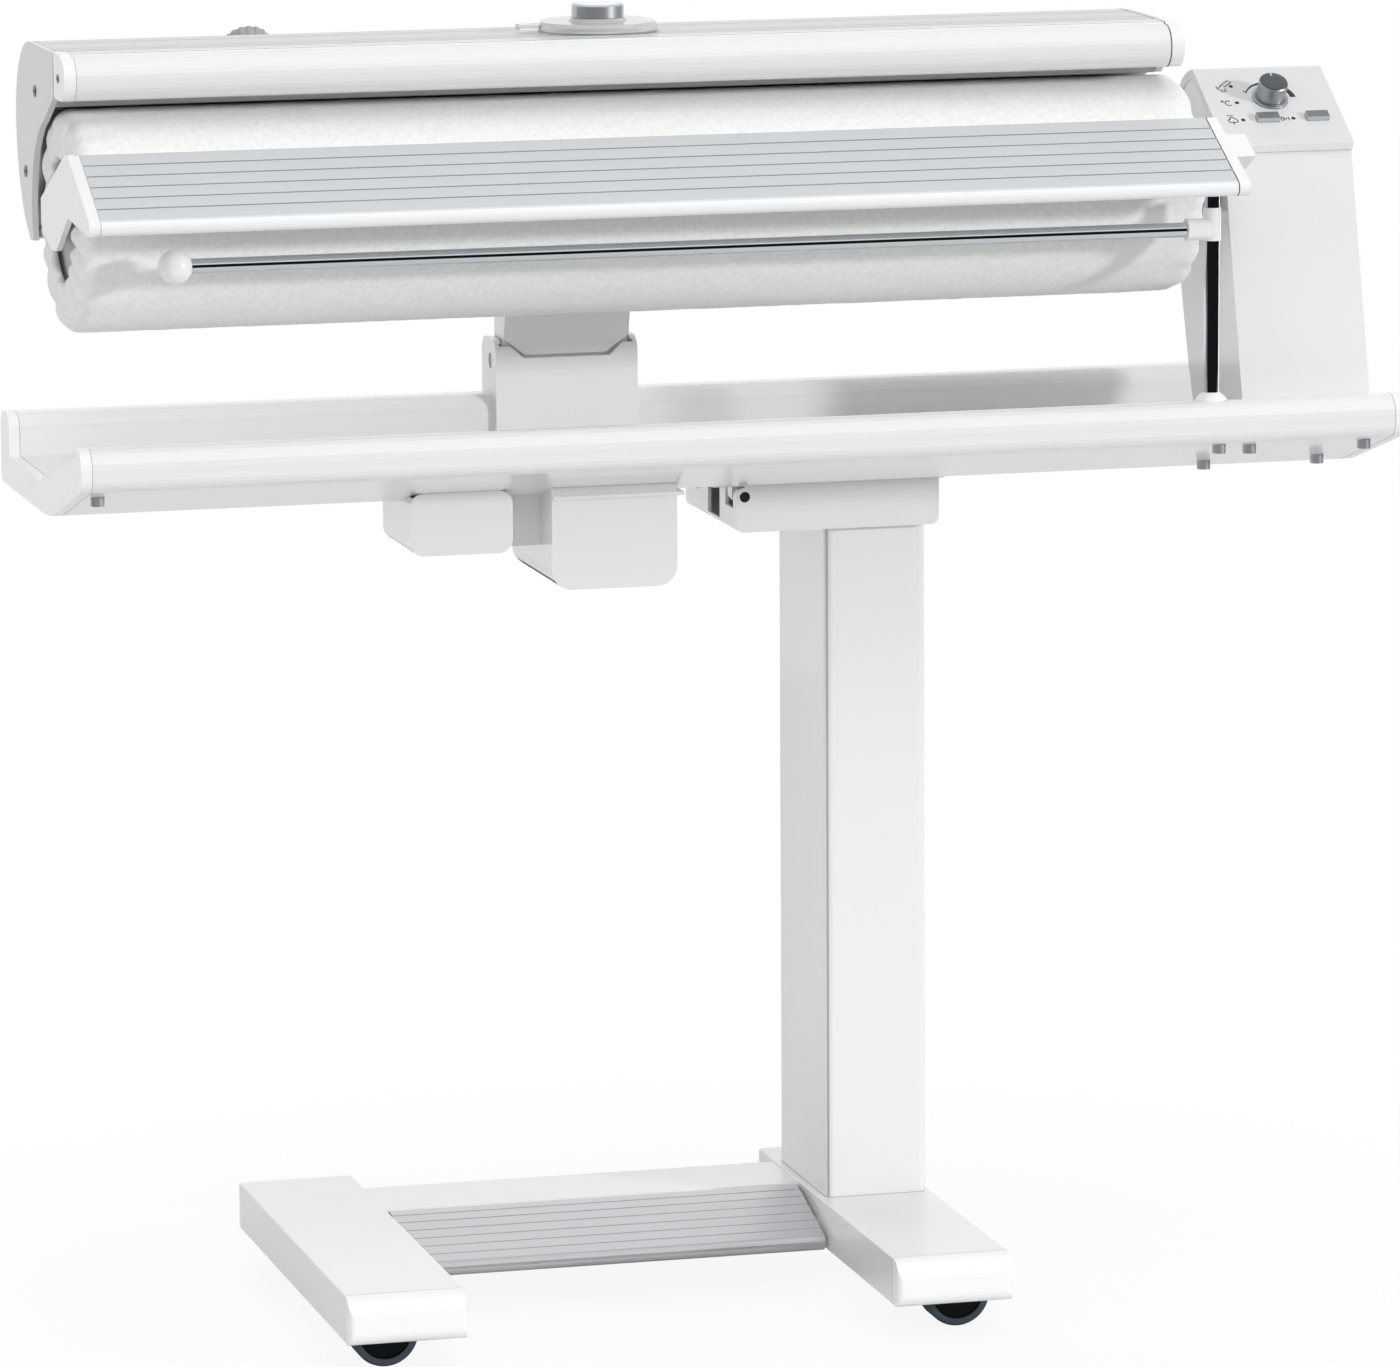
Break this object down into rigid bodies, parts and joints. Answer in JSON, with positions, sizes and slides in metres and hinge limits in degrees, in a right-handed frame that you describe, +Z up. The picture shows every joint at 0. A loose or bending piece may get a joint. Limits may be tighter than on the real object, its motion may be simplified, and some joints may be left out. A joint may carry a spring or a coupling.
{
  "type": "rotary ironer",
  "caption": "Folding rotary ironer on castors: padded roller under a hinged heated hood, feed board, linen tray, swing-out rail, leaning control box and foot pedal.",
  "frame": {"origin": "bottom centre of the bounding box, on the floor under the machine", "axes": "+X along the roller to the control box, +Y to the back, +Z up"},
  "size_m": [0.985, 0.384, 0.965],
  "materials": {
    "white_enamel": "smooth white enamel",
    "white_plastic": "smooth white moulding",
    "grey_plastic": "satin light grey",
    "clear_grey": "translucent grey",
    "black_plastic": "satin black",
    "tyre_grey": "grey tyre, black hub",
    "aluminium": "anodised",
    "coated_aluminium": "white powder coat",
    "polished_sole": "polished",
    "board_grey": "light grey anodised",
    "chrome": "bright",
    "plain_steel": "plain",
    "felt": "felt under cotton cloth"
  },
  "bodies": {
    "base": {"foot_left": "white_enamel", "foot_right": "white_enamel", "foot_cap_left": "white_plastic", "foot_cap_right": "white_plastic", "foot_end_left": "white_plastic", "foot_end_right": "white_plastic", "crossbar": "white_enamel", "column": "white_enamel", "hinge_housing": "white_enamel", "hinge_pin": "plain_steel", "pedal_pins": "plain_steel"},
    "pedal": {"pedal": "aluminium"},
    "castor_fl": {"castor_fl": "black_plastic"},
    "castor_fr": {"castor_fr": "black_plastic"},
    "castor_rl": {"castor_rl": "black_plastic"},
    "castor_rr": {"castor_rr": "black_plastic"},
    "wheels_fl": {"wheels_fl": "tyre_grey"},
    "wheels_fr": {"wheels_fr": "tyre_grey"},
    "wheels_rl": {"wheels_rl": "tyre_grey"},
    "wheels_rr": {"wheels_rr": "tyre_grey"},
    "head": {"hinge_plate": "plain_steel", "tray": "coated_aluminium", "tray_end_left": "white_plastic", "tray_end_right": "white_plastic", "motor_housing": "white_enamel", "gear_housing": "white_enamel", "tray_bolts": "plain_steel", "press_unit": "plain_steel", "pedestal": "white_plastic", "arm_shaft": "plain_steel", "control_box": "white_enamel", "control_panel": "white_plastic", "drive_unit": "plain_steel", "roller_axle": "plain_steel", "feed_board": "board_grey", "board_bracket_left": "white_plastic", "board_bracket_right": "white_plastic", "rail_socket": "white_plastic"},
    "rail": {"rail_post": "chrome", "rail_tee": "white_plastic", "rail_rod": "chrome", "rail_ball": "white_plastic"},
    "roller": {"roller_drum": "plain_steel", "roller_padding": "felt"},
    "heater": {"heater_arm": "white_plastic", "heater_shoe": "polished_sole", "hood": "white_enamel", "hood_end_left": "white_enamel", "hood_end_right": "white_enamel", "water_tank": "plain_steel"},
    "guard": {"guard_rail": "coated_aluminium", "guard_end_left": "white_plastic", "guard_end_right": "white_plastic"},
    "lid": {"filler_lid": "clear_grey"},
    "filler_knob": {"filler_knob": "grey_plastic"},
    "drain_knob": {"drain_knob": "grey_plastic"},
    "temp_knob": {"temp_knob": "grey_plastic"},
    "button_left": {"button_left": "grey_plastic"},
    "button_right": {"button_right": "grey_plastic"}
  },
  "joints": [
    {"name": "fold_pivot", "type": "hinge", "parent": "base", "child": "head", "pos_m": [0.0315, 0.08, 0.598], "axis": [0, -1, 0], "range_deg": [0, 90]},
    {"name": "pedal_pivot", "type": "hinge", "parent": "base", "child": "pedal", "pos_m": [0, 0.069, 0.0515], "axis": [1, 0, 0], "range_deg": [0, 6.5], "stiffness_Nm_per_rad": 4, "springref_deg": -8.59},
    {"name": "swivel_fl", "type": "hinge", "parent": "base", "child": "castor_fl", "pos_m": [-0.2715, -0.136, 0.05], "axis": [0, 0, 1], "continuous": true},
    {"name": "spin_fl", "type": "hinge", "parent": "castor_fl", "child": "wheels_fl", "pos_m": [-0.2825, -0.136, 0.0245], "axis": [0, 1, 0], "continuous": true},
    {"name": "swivel_rl", "type": "hinge", "parent": "base", "child": "castor_rl", "pos_m": [-0.2715, 0.136, 0.05], "axis": [0, 0, 1], "continuous": true},
    {"name": "spin_rl", "type": "hinge", "parent": "castor_rl", "child": "wheels_rl", "pos_m": [-0.2825, 0.136, 0.0245], "axis": [0, 1, 0], "continuous": true},
    {"name": "swivel_fr", "type": "hinge", "parent": "base", "child": "castor_fr", "pos_m": [0.137, -0.136, 0.05], "axis": [0, 0, 1], "continuous": true},
    {"name": "spin_fr", "type": "hinge", "parent": "castor_fr", "child": "wheels_fr", "pos_m": [0.148, -0.136, 0.0245], "axis": [0, 1, 0], "continuous": true},
    {"name": "swivel_rr", "type": "hinge", "parent": "base", "child": "castor_rr", "pos_m": [0.137, 0.136, 0.05], "axis": [0, 0, 1], "continuous": true},
    {"name": "spin_rr", "type": "hinge", "parent": "castor_rr", "child": "wheels_rr", "pos_m": [0.148, 0.136, 0.0245], "axis": [0, 1, 0], "continuous": true},
    {"name": "roller_turn", "type": "hinge", "parent": "head", "child": "roller", "pos_m": [0, -0.012, 0.8225], "axis": [1, 0, 0], "continuous": true},
    {"name": "rail_swing", "type": "hinge", "parent": "head", "child": "rail", "pos_m": [0.3495, -0.12, 0.7], "axis": [0, 0, 1], "range_deg": [0, 100]},
    {"name": "heater_lift", "type": "hinge", "parent": "head", "child": "heater", "pos_m": [0, 0.157, 0.687], "axis": [1, 0, 0], "range_deg": [-5, 0.5]},
    {"name": "guard_lift", "type": "hinge", "parent": "heater", "child": "guard", "pos_m": [0, -0.023, 0.938], "axis": [1, 0, 0], "range_deg": [-8, 0]},
    {"name": "lid_turn", "type": "hinge", "parent": "heater", "child": "lid", "pos_m": [-0.077, 0.012, 0.945], "axis": [0, 0, 1], "range_deg": [0, 60]},
    {"name": "filler_knob_turn", "type": "hinge", "parent": "lid", "child": "filler_knob", "pos_m": [-0.077, 0.012, 0.957], "axis": [0, 0, 1], "range_deg": [0, 90]},
    {"name": "drain_turn", "type": "hinge", "parent": "heater", "child": "drain_knob", "pos_m": [-0.316, 0.1052, 0.92392], "axis": [0, 0.766, 0.6428], "range_deg": [0, 180]},
    {"name": "temp_turn", "type": "hinge", "parent": "head", "child": "temp_knob", "pos_m": [0.4355, 0.00373, 0.88042], "axis": [0, 0.5373, -0.8434], "range_deg": [0, 270]},
    {"name": "button_left_press", "type": "slide", "parent": "head", "child": "button_left", "axis": [0, 0.5373, -0.8434], "range_m": [0, 0.0025], "stiffness_N_per_m": 400, "springref_m": -0.001},
    {"name": "button_right_press", "type": "slide", "parent": "head", "child": "button_right", "axis": [0, 0.5373, -0.8434], "range_m": [0, 0.0025], "stiffness_N_per_m": 400, "springref_m": -0.001}
  ]
}
